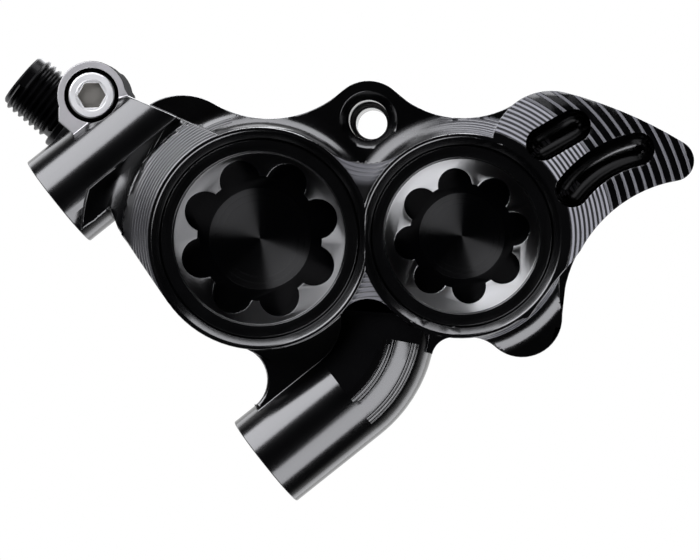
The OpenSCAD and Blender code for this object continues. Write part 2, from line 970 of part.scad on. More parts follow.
module pad_plate(from_w) {
    span(from_w, from_w + plate_t)
        difference() {
            pad_outline(0);
            translate(centre(pin_round))
                circle(d = pin_hole_d + 2 * pad_pin_play);
        }
}

module pad_lining(from_w) {
    h = plate_h - 2 * lining_margin;
    span(from_w, from_w + lining_t)
        intersection() {
            translate([-through / 2, -h / 2])
                square([2 * through, h]);
            union() {
                circle(r = large_r + plate_margin - lining_margin);
                translate([piston_pitch, 0])
                    circle(r = small_r + plate_margin - lining_margin);
                translate([0, -h / 2])
                    square([piston_pitch, h]);
            }
        }
}

module outer_pad_plate() {
    color("#6d6f72")
        at_bores()
            pad_plate(outer_face_w - plate_t);
}

module inner_pad_plate() {
    color("#6d6f72")
        at_bores()
            pad_plate(inner_face_w);
}

module outer_pad_lining() {
    color("#4d4038")
        at_bores()
            pad_lining(outer_face_w - plate_t - lining_t);
}

module inner_pad_lining() {
    color("#4d4038")
        at_bores()
            pad_lining(inner_face_w + plate_t);
}

// Bent sheet: a bridge between the tabs, a leg on each tab and arms over the linings
module pad_spring() {
    leg_out = pad_gap / 2 + lining_t;
    arm_low = plate_h / 2 - lining_margin + spring_clear;
    leg_w = tab_w - leg_inset;
    bridge_v = rotor_d / 2 - track_r + bridge_rise;
    color("#c4c6c8")
        at_bores()
            translate([pin_round[0], 0, rotor_w]) {
                for (side = [0, 1])
                    mirror([0, 0, side])
                        span(leg_out - spring_t, leg_out)
                            difference() {
                                union() {
                                    translate([-leg_w / 2, arm_low])
                                        square([leg_w, pin_rise - arm_low]);
                                    translate([0, pin_rise])
                                        circle(d = leg_w);
                                    translate([-spring_reach, arm_low])
                                        square([2 * spring_reach, spring_arm_h]);
                                }
                                translate([0, pin_rise])
                                    circle(d = pin_hole_d + 2 * pad_pin_play);
                            }
                span(-leg_out + eps, leg_out - eps)
                    translate([-leg_w / 2, bridge_v])
                        square([leg_w, spring_t]);
            }
}

module bleed_screw() {
    edge = 0.15;
    head_w = bleed_face_w - bleed_head_h;
    tip_h = 0.9;
    color("#d8d9da")
        at_bores()
            translate([bleed_at[0], bleed_at[1], 0])
                difference() {
                    union() {
                        translate([0, 0, head_w])
                            cylinder(d = bleed_head_d, h = bleed_head_h - edge);
                        translate([0, 0, bleed_face_w - edge])
                            cylinder(d1 = bleed_head_d, d2 = bleed_head_d - 2 * edge, h = edge);
                        translate([0, 0, head_w - bleed_thread_l + tip_h])
                            cylinder(d = bleed_thread_d, h = bleed_thread_l - tip_h + eps);
                        translate([0, 0, head_w - bleed_thread_l])
                            cylinder(d1 = bleed_thread_d - 2 * tip_h, d2 = bleed_thread_d, h = tip_h);
                    }
                    translate([0, 0, bleed_face_w - bleed_socket_depth])
                        cylinder(d = bleed_socket_d, h = bleed_socket_depth + over);
                    hex_bar(bleed_hex, bleed_face_w - bleed_hex_depth, bleed_face_w + over);
                }
}

module bleed_screw_ring() {
    color("#181818")
        at_bores()
            translate([bleed_at[0], bleed_at[1], bleed_seat_w + seat_gap + bleed_ring_d / 2])
                sealing_ring(bleed_ring_r, bleed_ring_d);
}

// Section of the connector: thread crests, flange and spigot
function connector_profile() =
    let (crest_r = hose_thread_d / 2, root_r = crest_r - hose_thread_depth)
    concat(
        [[hose_bore_d / 2, 0], [root_r, 0]],
        [for (i = [0 : hose_thread_crests - 1], corner = [0 : 3])
            [corner == 1 || corner == 2 ? crest_r : root_r,
                -(i + hose_thread_start + hose_thread_corners[corner]) * hose_thread_pitch]],
        [[root_r, -hose_thread_l], [hose_flange_d / 2, -hose_thread_l],
            [hose_flange_d / 2, -hose_thread_l - hose_flange_t],
            [hose_spigot_d / 2, -hose_thread_l - hose_flange_t],
            [hose_spigot_d / 2, -hose_lug_at - hose_spigot_l],
            [hose_bore_d / 2, -hose_lug_at - hose_spigot_l]]
    );

module hose_connector() {
    seat_depth = (hose_seat_d - hose_bore_d) / 2;
    color("#121314")
        at_hose()
            difference() {
                rotate_extrude()
                    polygon(connector_profile());
                translate([0, 0, -seat_depth])
                    cylinder(d1 = hose_bore_d, d2 = hose_seat_d, h = seat_depth + eps);
            }
}

module connector_washer() {
    color("#1b1c1e")
        at_hose()
            ring_of(hose_lug_d / 2, hose_spigot_d / 2 + seat_gap, -hose_lug_at, -hose_lug_at + hose_washer_t);
}

module gallery_plug() {
    color("#141517")
        at_bores()
            translate([gallery_at[0], gallery_at[1], back_w + plug_inset])
                difference() {
                    cylinder(d = plug_d, h = plug_l);
                    hex_bar(plug_hex, -over, plug_hex_depth);
                }
}

caliper_body();
large_bore_cap();
small_bore_cap();
large_cap_ring();
small_cap_ring();
outer_large_piston();
outer_small_piston();
inner_large_piston();
inner_small_piston();
outer_large_insert();
outer_small_insert();
inner_large_insert();
inner_small_insert();
outer_large_seal();
outer_small_seal();
inner_large_seal();
inner_small_seal();
outer_pad_plate();
inner_pad_plate();
outer_pad_lining();
inner_pad_lining();
pad_spring();
bleed_screw();
bleed_screw_ring();
hose_connector();
connector_washer();
gallery_plug();
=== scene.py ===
# %% [markdown]
# # Dressing a disc brake caliper
# The caliper is a four-piston bicycle brake milled from one aluminium block and anodised black.
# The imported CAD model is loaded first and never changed: it fixes every size and every joint.
# What follows gives its pieces softer edges, cut marks, threads and finishes.

# %% Load the frame
import json
import math

import bmesh
import bpy
from mathutils import Matrix, Vector
from mathutils.bvhtree import BVHTree


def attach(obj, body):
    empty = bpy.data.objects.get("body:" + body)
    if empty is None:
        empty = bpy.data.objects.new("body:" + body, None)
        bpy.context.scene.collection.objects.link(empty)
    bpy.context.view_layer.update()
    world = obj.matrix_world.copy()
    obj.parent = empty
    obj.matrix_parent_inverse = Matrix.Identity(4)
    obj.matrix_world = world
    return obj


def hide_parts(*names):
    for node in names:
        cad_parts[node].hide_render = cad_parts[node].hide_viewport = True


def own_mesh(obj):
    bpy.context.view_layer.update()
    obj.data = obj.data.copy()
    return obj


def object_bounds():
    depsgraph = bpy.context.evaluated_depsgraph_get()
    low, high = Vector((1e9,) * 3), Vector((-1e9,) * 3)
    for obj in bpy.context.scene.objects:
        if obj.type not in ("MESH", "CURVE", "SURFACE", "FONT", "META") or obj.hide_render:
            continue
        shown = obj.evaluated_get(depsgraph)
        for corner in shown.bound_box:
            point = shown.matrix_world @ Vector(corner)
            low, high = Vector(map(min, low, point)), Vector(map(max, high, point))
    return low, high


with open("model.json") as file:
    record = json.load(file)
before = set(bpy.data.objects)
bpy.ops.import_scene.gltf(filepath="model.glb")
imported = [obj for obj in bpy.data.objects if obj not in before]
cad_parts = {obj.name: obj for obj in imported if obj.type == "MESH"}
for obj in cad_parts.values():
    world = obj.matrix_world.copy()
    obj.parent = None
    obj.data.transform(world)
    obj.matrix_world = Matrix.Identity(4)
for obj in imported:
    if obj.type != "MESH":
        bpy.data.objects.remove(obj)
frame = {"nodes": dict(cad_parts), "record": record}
cad_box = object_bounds()
MM = 0.001
print("nodes", len(frame["nodes"]), "box in mm", [[round(x / MM, 2) for x in corner] for corner in cad_box])

# %% [markdown]
# The two bores lie on a line that is tilted over the mounting face.
# Most cuts in the block were made square to that line, so a small frame of its own makes them easy to place:
# u runs along the bore line, v up and away from the rotor, w outboard towards the viewer.

# %% The bore frame
LINE_TILT = math.radians(52.2)
BORE_GAP = 20.5
ALONG = Vector((math.cos(LINE_TILT), 0, math.sin(LINE_TILT)))
RISE = Vector((-math.sin(LINE_TILT), 0, math.cos(LINE_TILT)))
OUTBOARD = Vector((0, -1, 0))
UP = Vector((0, 0, 1))
LARGE_BORE = Vector((-1.1, 0, 13.9)) * MM
SMALL_BORE = LARGE_BORE + ALONG * BORE_GAP * MM

# Axes that run outboard, by their u and v.
SMALL_AXIS = (BORE_GAP, 0)
BLEED_AXIS = (-17, 14.8)
PIN_AXIS = (11.1, 12)


def spot(u, v, w):
    """A point of the bore frame, given in millimetres."""
    return LARGE_BORE + (ALONG * u + RISE * v + OUTBOARD * w) * MM


def bore_reading(point):
    """The u, v and w of a point, in millimetres."""
    step = (point - LARGE_BORE) / MM
    return step.dot(ALONG), step.dot(RISE), step.dot(OUTBOARD)


def away(u, v, axis):
    """How far a point lies from an axis that runs outboard."""
    return math.hypot(u - axis[0], v - axis[1])


print("small bore axis at", [round(x / MM, 3) for x in SMALL_BORE])

# %% [markdown]
# The camera looks square at the outboard side through a long lens, rolled so that the bore line lies level.
# A long lens half a metre away keeps the cap faces nearly free of perspective, as in a product picture.

# %% The camera


def add_object(name, data):
    """Makes an object and puts it in the scene."""
    thing = bpy.data.objects.new(name, data)
    bpy.context.collection.objects.link(thing)
    return thing


def place(thing, across, over, back, where):
    """Stands a camera or a light at a point, with its own x, y and z along three directions."""
    thing.matrix_world = Matrix((
        (across.x, over.x, back.x, where.x),
        (across.y, over.y, back.y, where.y),
        (across.z, over.z, back.z, where.z),
        (0, 0, 0, 1)))


EYE = Vector((11.54, -500, 30.17)) * MM
AIM = Vector((7.86, 0, 18.34)) * MM
LEVEL = Vector((0.6231, 0, 0.7821))
forward = (AIM - EYE).normalized()
right = (LEVEL - forward * LEVEL.dot(forward)).normalized()
up = right.cross(forward)
camera_data = bpy.data.cameras.new("camera")
camera_data.lens = 251.6
camera_data.sensor_width = 36
camera_data.clip_start = 0.01
camera = add_object("camera", camera_data)
place(camera, right, up, -forward, EYE)
bpy.context.scene.camera = camera
bpy.context.scene.view_settings.view_transform = "Standard"
print("camera lens", camera_data.lens)

# %% [markdown]
# Black anodising shows almost nothing of its own: what one sees is the room mirrored in it.
# So the studio is planned as a mirror image: a white sweep behind, a dark room in front,
# and two soft boxes whose reflections draw the long bright bands on the round posts.
# Weaker boxes above, beside and behind draw the edges, and let the other sides read as well.

# %% The lights


def add_light(name, bearing, off_axis, distance, width, height, radiance):
    """A soft box, at a bearing in the picture and an angle off the line of sight, both in degrees."""
    bearing, off_axis = math.radians(bearing), math.radians(off_axis)
    side = right * math.cos(bearing) + up * math.sin(bearing)
    where = AIM - forward * math.cos(off_axis) * distance + side * math.sin(off_axis) * distance
    data = bpy.data.lights.new(name, "AREA")
    data.shape = "RECTANGLE"
    data.size = width
    data.size_y = height
    data.energy = radiance * width * height * math.pi
    data.color = (0.95, 0.955, 1.0)
    box = add_object(name, data)
    back = (where - AIM).normalized()
    across = (side - back * side.dot(back)).normalized()
    place(box, across, back.cross(across), back, where)
    box.visible_camera = False


add_light("left_softbox", 134, 60, 0.6, 0.53, 0.48, 7.0)
add_light("right_softbox", 312, 47, 0.6, 0.40, 0.60, 5.2)
add_light("top_softbox", 82, 84, 0.6, 0.34, 0.7, 4.5)
add_light("left_rim_light", 128, 128, 0.7, 0.26, 0.9, 1.7)
add_light("right_rim_light", 308, 128, 0.7, 0.26, 0.9, 1.4)
add_light("low_rim_light", 218, 114, 0.7, 0.36, 0.9, 1.8)
add_light("back_softbox", 60, 150, 0.7, 0.5, 0.5, 4.0)
print("lights", len(bpy.data.lights))

# %% [markdown]
# The room is black in front of the part and turns white behind it. The camera itself sees plain white
# all round, on the floor too, so that the picture has no horizon.

# %% The room and the floor


def preset(node, values):
    """Sets input sockets of a node by their names."""
    for label, value in values.items():
        node.inputs[label].default_value = value
    return node


world = bpy.data.worlds.new("studio")
bpy.context.scene.world = world
world.use_nodes = True
nodes, links = world.node_tree.nodes, world.node_tree.links
nodes.clear()
where_seen = nodes.new("ShaderNodeTexCoord")
split = nodes.new("ShaderNodeSeparateXYZ")
links.new(where_seen.outputs["Generated"], split.inputs[0])
sweep = preset(nodes.new("ShaderNodeMapRange"), {"From Min": 0.2, "From Max": 0.6})
links.new(split.outputs["Y"], sweep.inputs["Value"])
ray = nodes.new("ShaderNodeLightPath")
pick = preset(nodes.new("ShaderNodeMix"), {"B": 1.0})
links.new(ray.outputs["Is Camera Ray"], pick.inputs["Factor"])
links.new(sweep.outputs["Result"], pick.inputs["A"])
glow = preset(nodes.new("ShaderNodeBackground"), {"Color": (1, 1, 1, 1)})
links.new(pick.outputs["Result"], glow.inputs["Strength"])
sky = nodes.new("ShaderNodeOutputWorld")
links.new(glow.outputs[0], sky.inputs[0])

FLOOR_SIZE = 1.2
FLOOR_DROP = 0.2 * MM
floor_bm = bmesh.new()
bmesh.ops.create_grid(floor_bm, x_segments=8, y_segments=8, size=FLOOR_SIZE)
bmesh.ops.translate(floor_bm, verts=floor_bm.verts, vec=(0, 0, cad_box[0][2] - FLOOR_DROP))
floor_mesh = bpy.data.meshes.new("studio_floor")
floor_bm.to_mesh(floor_mesh)
floor_bm.free()
floor = add_object("studio_floor", floor_mesh)
floor.visible_glossy = False
floor.visible_diffuse = False
floor.visible_shadow = False
paper = bpy.data.materials.new("white_paper")
paper.use_nodes = True
nodes, links = paper.node_tree.nodes, paper.node_tree.links
sheet_shader = preset(nodes["Principled BSDF"], {"Base Color": (0.8, 0.8, 0.8, 1), "Roughness": 0.9})
lit = preset(nodes.new("ShaderNodeEmission"), {"Strength": 1.0})
seen = nodes.new("ShaderNodeLightPath")
blend = nodes.new("ShaderNodeMixShader")
links.new(seen.outputs["Is Camera Ray"], blend.inputs["Fac"])
links.new(sheet_shader.outputs[0], blend.inputs[1])
links.new(lit.outputs[0], blend.inputs[2])
links.new(blend.outputs[0], nodes["Material Output"].inputs["Surface"])
floor_mesh.materials.append(paper)
print("room and floor ready")

# %% [markdown]
# Every finish here shares a few effects, so each is built once as a node group.
# The first is the cut pattern of a round-nosed cutter that circles a bore:
# shallow scallops with sharp crests between them, at an even pitch from the bore's axis.
# On a hollow that climbs as it nears the bore, Climb counts the height as well, so the rings stay even there.

# %% Scallops round a bore


def new_group(name, inputs, outputs):
    """An empty shader node group: inputs are numbers with their usual values, outputs are names."""
    group = bpy.data.node_groups.new(name, "ShaderNodeTree")
    for label, value in inputs.items():
        socket = group.interface.new_socket(label, in_out="INPUT", socket_type="NodeSocketFloat")
        socket.default_value = value
    for label in outputs:
        group.interface.new_socket(label, in_out="OUTPUT", socket_type="NodeSocketFloat")
    return group, group.nodes.new("NodeGroupInput"), group.nodes.new("NodeGroupOutput")


def math_node(tree, operation, first, second=None, third=None):
    """One Math node; each operand is a socket or a number."""
    node = tree.nodes.new("ShaderNodeMath")
    node.operation = operation
    for slot, value in enumerate((first, second, third)):
        if value is None:
            continue
        if isinstance(value, (int, float)):
            node.inputs[slot].default_value = value
        else:
            tree.links.new(value, node.inputs[slot])
    return node.outputs[0]


scallops, come, go = new_group(
    "bore_scallops",
    {"Axis X": 0.0, "Axis Z": 0.0, "Pitch": 0.25 * MM, "Start": 0.0, "Climb": 0.0},
    ["Height", "Distance", "Along"])
surface_point = scallops.nodes.new("ShaderNodeTexCoord")
axes = scallops.nodes.new("ShaderNodeSeparateXYZ")
scallops.links.new(surface_point.outputs["Object"], axes.inputs[0])
dx = math_node(scallops, "SUBTRACT", axes.outputs["X"], come.outputs["Axis X"])
dz = math_node(scallops, "SUBTRACT", axes.outputs["Z"], come.outputs["Axis Z"])
reach = math_node(scallops, "SQRT", math_node(
    scallops, "ADD", math_node(scallops, "MULTIPLY", dx, dx), math_node(scallops, "MULTIPLY", dz, dz)))
run = math_node(scallops, "MULTIPLY_ADD", axes.outputs["Y"], come.outputs["Climb"], reach)
past = math_node(scallops, "SUBTRACT", run, come.outputs["Start"])
turn = math_node(scallops, "FRACT", math_node(scallops, "DIVIDE", past, come.outputs["Pitch"]))
swing = math_node(scallops, "MULTIPLY_ADD", turn, 2.0, -1.0)
scallops.links.new(math_node(scallops, "MULTIPLY", swing, swing), go.inputs["Height"])
scallops.links.new(reach, go.inputs["Distance"])
sideways = math_node(scallops, "MULTIPLY_ADD", dx, ALONG.x, math_node(scallops, "MULTIPLY", dz, ALONG.z))
scallops.links.new(sideways, go.inputs["Along"])
print("group", scallops.name)

# %% [markdown]
# The second effect is the fine tooth that blasting and anodising leave: two sizes of noise,
# one for the bump of the grain and one, broader, for slight changes in gloss.

# %% Blasted grain
FINE_GRAIN, BROAD_GRAIN = 14000.0, 260.0
grain, come, go = new_group("blasted_grain", {"Fine": FINE_GRAIN, "Broad": BROAD_GRAIN}, ["Height", "Cloud"])
surface_point = grain.nodes.new("ShaderNodeTexCoord")
for label, socket, detail in (("Height", "Fine", 2.0), ("Cloud", "Broad", 4.0)):
    noise = preset(grain.nodes.new("ShaderNodeTexNoise"), {"Detail": detail})
    grain.links.new(surface_point.outputs["Object"], noise.inputs["Vector"])
    grain.links.new(come.outputs[socket], noise.inputs["Scale"])
    grain.links.new(noise.outputs["Fac"], go.inputs[label])
print("group", grain.name)

# %% [markdown]
# With the groups at hand, a metal finish is one short function:
# a Principled shader whose gloss and tint drift with the broad noise and whose normal carries the grain.
# Black anodising is a clear oxide layer full of dye, so it is not metallic: it is black with a glassy top.

# %% Metal and polymer finishes


def group_node(tree, group, values):
    """Places a node group in a material, with its own values."""
    node = tree.nodes.new("ShaderNodeGroup")
    node.node_tree = group
    return preset(node, values)


def finish(name, dark, light, gloss, spread, tooth, metallic=0.0, fine=FINE_GRAIN, broad=BROAD_GRAIN, ior=1.5):
    """A finish between two tints and two roughnesses; tooth is the grain's height in millimetres."""
    material = bpy.data.materials.new(name)
    material.use_nodes = True
    tree = material.node_tree
    shader = preset(tree.nodes["Principled BSDF"], {"Metallic": metallic, "IOR": ior})
    speck = group_node(tree, grain, {"Fine": fine, "Broad": broad})
    tint = tree.nodes.new("ShaderNodeMix")
    tint.data_type = "RGBA"
    preset(tint, {"A": (*dark, 1), "B": (*light, 1)})
    tree.links.new(speck.outputs["Cloud"], tint.inputs["Factor"])
    tree.links.new(tint.outputs["Result"], shader.inputs["Base Color"])
    rough = math_node(tree, "MULTIPLY_ADD", speck.outputs["Cloud"], spread, gloss - spread / 2)
    tree.links.new(rough, shader.inputs["Roughness"])
    bump = preset(tree.nodes.new("ShaderNodeBump"), {"Strength": 1.0, "Distance": tooth * MM})
    tree.links.new(speck.outputs["Height"], bump.inputs["Height"])
    tree.links.new(bump.outputs["Normal"], shader.inputs["Normal"])
    return material


def black_anodising(name):
    """The body's own black."""
    return finish(name, (0.0006, 0.0006, 0.0007), (0.0014, 0.0014, 0.0016), 0.18, 0.05, 0.0004, ior=1.7)


anodised = black_anodising("black_anodised")
rubber = finish("seal_rubber", (0.008, 0.008, 0.008), (0.02, 0.02, 0.021), 0.62, 0.2, 0.006,
                fine=9000.0, broad=600.0)
piston_steel = finish("piston_steel", (0.52, 0.5, 0.47), (0.66, 0.65, 0.62), 0.24, 0.12, 0.001, metallic=1.0)
insert_resin = finish("insert_resin", (0.16, 0.05, 0.02), (0.28, 0.1, 0.05), 0.55, 0.2, 0.008,
                      fine=5000.0, broad=900.0)
plate_steel = finish("plate_steel", (0.30, 0.30, 0.31), (0.46, 0.46, 0.47), 0.38, 0.2, 0.003,
                     metallic=1.0, fine=7000.0, broad=500.0)
spring_steel = finish("spring_steel", (0.42, 0.41, 0.4), (0.6, 0.59, 0.57), 0.28, 0.14, 0.001, metallic=1.0)
bright_screw = finish("bright_screw", (0.86, 0.86, 0.86), (0.96, 0.96, 0.96), 0.5, 0.1, 0.002, metallic=1.0)
bare_aluminium = finish("bare_aluminium", (0.44, 0.435, 0.44), (0.52, 0.51, 0.52), 0.56, 0.1, 0.002, metallic=1.0)
# A dull near-black that mirrors almost nothing: painted shade for the walls beside the bleed boss and inside the
# elbow's bend.
painted_shade_black = finish("painted_shade_black", (0.001, 0.001, 0.0012), (0.003, 0.003, 0.0032), 0.7, 0.1, 0.002, ior=1.05)
thread_black = finish("thread_black", (0.0006, 0.0006, 0.0007), (0.0016, 0.0016, 0.0018), 0.3, 0.05, 0.0004,
                      ior=1.25)
socket_steel = finish("socket_steel", (0.13, 0.125, 0.11), (0.26, 0.25, 0.23), 0.45, 0.16, 0.002, metallic=0.3)
black_steel = finish("black_steel", (0.002, 0.002, 0.0023), (0.006, 0.006, 0.0065), 0.36, 0.1, 0.001, ior=1.4)
print("finishes", len(bpy.data.materials))

# %% [markdown]
# Surfaces that the cutter left as milled are the grey ones: their scallops tilt the surface to and fro, so some
# slope always faces a light. That grey is painted into the colour as a painted sheen between the crests, standing
# for the lights mirrored in the scallops. The scallop group drives a Bump node on top of it, and the same rings
# darken the crests.

# %% Milled finish


def ring_marks(tree, axis, pitch, start=0.0, climb=0.0):
    """Places the scallop group in a material; pitch and start are in millimetres."""
    return group_node(tree, scallops, {
        "Axis X": axis.x, "Axis Z": axis.z, "Pitch": pitch * MM, "Start": start * MM, "Climb": climb})


def ramp(tree, value, low, high, top=1.0):
    """A soft step from 0 at low to top at high."""
    step = preset(tree.nodes.new("ShaderNodeMapRange"), {"From Min": low, "From Max": high, "To Max": top})
    step.interpolation_type = "SMOOTHSTEP"
    tree.links.new(value, step.inputs["Value"])
    return step.outputs["Result"]


def add_cut(tree, height, depth):
    """Lays a cut of that depth in millimetres over the grain of a finish."""
    cut = preset(tree.nodes.new("ShaderNodeBump"), {"Distance": depth * MM})
    tree.links.new(height, cut.inputs["Height"])
    tree.links.new(tree.nodes["Bump"].outputs["Normal"], cut.inputs["Normal"])
    tree.links.new(cut.outputs["Normal"], tree.nodes["Principled BSDF"].inputs["Normal"])


def milled(name, axis, pitch, depth, gloss, light, lines=0.8, crest=(0.15, 0.85), start=0.0, climb=0.0,
           fade=None, fade_over="Distance", lean=0.0, ior=1.6):
    """Cutter rings round one axis.

    light is the grey between the crests, a painted sheen for the lights the scallops mirror;
    lines is how dark the crests are and crest where they begin and end.
    fade is where the rings and the painted sheen run out, in millimetres from the axis or along the bore line;
    lean tilts that limit.
    """
    # The grey tint is a painted sheen: the black anodising has almost no colour of its own.
    painted_sheen_tint = (light * 0.92, light * 0.92, light)
    material = finish(name, painted_sheen_tint, tuple(1.25 * x for x in painted_sheen_tint), gloss, 0.1, 0.002, ior=ior)
    tree = material.node_tree
    shader = tree.nodes["Principled BSDF"]
    marks = ring_marks(tree, axis, pitch, start, climb)
    height = marks.outputs["Height"]
    dark = ramp(tree, height, *crest, lines)
    if fade:
        far = marks.outputs[fade_over]
        if lean:
            far = math_node(tree, "MULTIPLY_ADD", marks.outputs["Along"], lean, far)
        gone = ramp(tree, far, fade[0] * MM, fade[1] * MM)
        dark = math_node(tree, "MAXIMUM", dark, gone)
        height = math_node(tree, "MULTIPLY", height, math_node(tree, "SUBTRACT", 1.0, gone))
    shade = tree.nodes.new("ShaderNodeMix")
    shade.data_type = "RGBA"
    tree.links.new(dark, shade.inputs["Factor"])
    tree.links.new(shader.inputs["Base Color"].links[0].from_socket, shade.inputs["A"])
    preset(shade, {"B": (0.001, 0.001, 0.0012, 1)})
    tree.links.new(shade.outputs["Result"], shader.inputs["Base Color"])
    add_cut(tree, height, depth)
    return material


# The flare's painted sheen runs out away from the bore, and sooner towards its far left, where that side lies in
# shade.
milled_flare_painted_sheen = milled("milled_flare_painted_sheen", LARGE_BORE, 0.26, 0.05, 0.32, light=0.035,
                      fade=(17.3, 18.8), lean=-0.4, ior=1.7)
milled_steps_painted_sheen = milled("milled_fine_steps_painted_sheen", SMALL_BORE, 0.47, 0.05, 0.34, light=0.3, lines=0.95, crest=(0.03, 0.42),
                      start=10.55)
milled_lands_painted_sheen = milled("milled_tail_lands_painted_sheen", SMALL_BORE, 0.24, 0.04, 0.34, light=0.14, lines=0.3)
milled_cove_painted_sheen = milled("milled_cove_of_small_bore_painted_sheen", SMALL_BORE, 0.5, 0.05, 0.26, light=0.14, climb=1.0,
                     fade=(4, -4), fade_over="Along")
milled_pin_land_painted_sheen = milled("milled_round_pad_pin_painted_sheen", spot(*PIN_AXIS, 0), 0.42, 0.05, 0.32, light=0.11, lines=0.45,
                         fade=(5.6, 7.0))
milled_post_land_painted_sheen = milled("milled_round_elbow_painted_sheen", spot(11.8, -16.5, 0), 0.5, 0.08, 0.3, light=0.14)
print("milled finishes made")

# %% [markdown]
# The outside of the elbow has a smooth band with a few fine ribs on either side of it.
# They are rings again, this time round the middle of the bend, and they fade out beside the band.

# %% Ribs of the elbow
BEND_X, BEND_Z, BEND_R = 7.1, 11, 9.9
BAND_R = 11.9
ribbed = black_anodising("ribbed_elbow")
tree = ribbed.node_tree
ribs = ring_marks(tree, Vector((BEND_X, 0, BEND_Z)) * MM, 0.27)
off_band = math_node(tree, "ABSOLUTE", math_node(tree, "SUBTRACT", ribs.outputs["Distance"], BAND_R * MM))
beside = math_node(tree, "SUBTRACT", ramp(tree, off_band, 0.75 * MM, 0.85 * MM),
                   ramp(tree, off_band, 1.5 * MM, 1.7 * MM))
add_cut(tree, math_node(tree, "MULTIPLY", ribs.outputs["Height"], beside), 0.05)
print("ribs made")

# %% [markdown]
# A turned face is cut by one tool point that spirals in, so it is smooth along the ring and rough across it.
# That is what anisotropy means in the shader: highlights fan out from the centre like a bow tie.
# The Tangent node gives the ring direction round each cap's own axis.

# %% Turned finish


def turned(name, tint, ior, twist):
    """A lathe-turned face whose fan of light is turned by twist, a share of a full turn."""
    material = finish(name, tint, tuple(1.6 * x for x in tint), 0.3, 0.05, 0.0002, ior=ior)
    tree = material.node_tree
    shader = preset(tree.nodes["Principled BSDF"], {"Anisotropic": 1.0, "Anisotropic Rotation": twist})
    ring_way = tree.nodes.new("ShaderNodeTangent")
    ring_way.direction_type = "RADIAL"
    ring_way.axis = "Y"
    tree.links.new(ring_way.outputs["Tangent"], shader.inputs["Tangent"])
    return material


turned_large = turned("turned_large_cap", (0.0008, 0.0008, 0.0009), 2.3, 0.16)
turned_small = turned("turned_small_cap", (0.0008, 0.0008, 0.0009), 4.2, 0.285)
turned_band = turned("turned_socket_band", (0.0005, 0.0005, 0.0006), 1.35, 0.25)
turned_floor = turned("turned_socket_floor", (0.0004, 0.0004, 0.0005), 1.12, 0.25)
print("turned finishes made")

# %% [markdown]
# The linings are sintered: brass-coloured metal powder pressed with grit and graphite.
# A Voronoi pattern at half a millimetre gives the grains, each with a tint of its own.

# %% Sintered lining
lining = finish("sintered_lining", (0.05, 0.04, 0.03), (0.16, 0.11, 0.07), 0.7, 0.2, 0.02,
                metallic=0.3, fine=6000.0, broad=1800.0)
tree = lining.node_tree
surface_point = tree.nodes.new("ShaderNodeTexCoord")
cells = preset(tree.nodes.new("ShaderNodeTexVoronoi"), {"Scale": 2600.0})
tree.links.new(surface_point.outputs["Object"], cells.inputs["Vector"])
fleck = tree.nodes.new("ShaderNodeMix")
fleck.data_type = "RGBA"
fleck.blend_type = "MULTIPLY"
fleck.inputs["Factor"].default_value = 0.75
tree.links.new(tree.nodes["Mix"].outputs["Result"], fleck.inputs["A"])
tree.links.new(cells.outputs["Color"], fleck.inputs["B"])
tree.links.new(fleck.outputs["Result"], tree.nodes["Principled BSDF"].inputs["Base Color"])
print("lining made")

# %% [markdown]
# CAD edges are knife sharp, and no real edge is. A copy of a node's mesh is welded, its flat faces are
# joined up again, and its sharp edges get a narrow round: a deburred edge where it juts out, a cutter's
# corner where it is hollow. The rounds are what catch the light and draw the bright outline.

# %% Copies with rounded edges
WELD = 0.001 * MM
FLAT = math.radians(0.4)
SHARP = math.radians(24)
CREASE = math.radians(32)


def welded_copy(node):
    """A bmesh of a CAD node with its loose triangles joined and flat regions made one face again."""
    bm = bmesh.new()
    bm.from_mesh(frame["nodes"][node].data)
    bmesh.ops.remove_doubles(bm, verts=bm.verts, dist=WELD)
    bmesh.ops.dissolve_limit(bm, angle_limit=FLAT, verts=bm.verts, edges=bm.edges)
    return bm


def round_edges(bm, edges, width, segments=2):
    """Bevels edges to a round of that width in millimetres."""
    if edges:
        bmesh.ops.bevel(bm, geom=edges, offset=width * MM, offset_type="OFFSET", segments=segments, profile=0.5,
                        affect="EDGES", material=-1, clamp_overlap=False, loop_slide=True)


def drawn_back(bm, surface, slack):
    """Pulls corners that a bevel threw off back to the surface they came from; says how many."""
    strays = 0
    for vert in bm.verts:
        near, _, _, gap = surface.find_nearest(vert.co)
        if gap > slack * MM:
            vert.co = near
            strays += 1
    return strays


def finished(name, bm, materials, body, slot, *nodes):
    """Makes the object, shades it smoothly up to its sharp edges and hands it to the frame."""
    mesh = bpy.data.meshes.new(name)
    for face in bm.faces:
        face.smooth = True
    bm.to_mesh(mesh)
    bm.free()
    mesh.set_sharp_from_angle(angle=CREASE)
    for material in materials:
        mesh.materials.append(material)
    piece = add_object(name, mesh)
    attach(piece, body)
    if nodes:
        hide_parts(*nodes)
    if not any(m.name.startswith("turned") for m in materials):
        even = piece.modifiers.new("even_normals", "WEIGHTED_NORMAL")
        even.keep_sharp = True
        even.weight = 100
    print(name, "faces", len(mesh.polygons))
    return piece


# %% [markdown]
# The two slots in the tail were sunk with a ball-nosed cutter, so their ends and floors are round.
# The cutter's own swept shape is modelled here: a ball cut in half, walls drawn up from its rim, then pulled
# out along its path. The path runs downhill with the tail, and the longer one bends round the small bore.

# %% The ball-nosed cutter's path
BALL = 1.72
BALL_START_W = 1.65
BALL_WALL = 7
UPPER_START, UPPER_RUN = (28.8, 9.2), (3.2, 1.8)
LOWER_MIDDLE, LOWER_REACH, LOWER_TURN = (40.7, -2.7), 11.5, (141.5, 101)


def everything(bm):
    """All the geometry of a bmesh, as the operators want it."""
    return bm.verts[:] + bm.edges[:] + bm.faces[:]


def open_edges(bm):
    """The edges round the openings of a bmesh."""
    return [e for e in bm.edges if e.is_boundary]


def cut_across(bm, x):
    """Adds a row of corners across a swept ball."""
    bmesh.ops.bisect_plane(bm, geom=everything(bm), plane_co=(x, 0, 0), plane_no=(1, 0, 0), dist=1e-6)


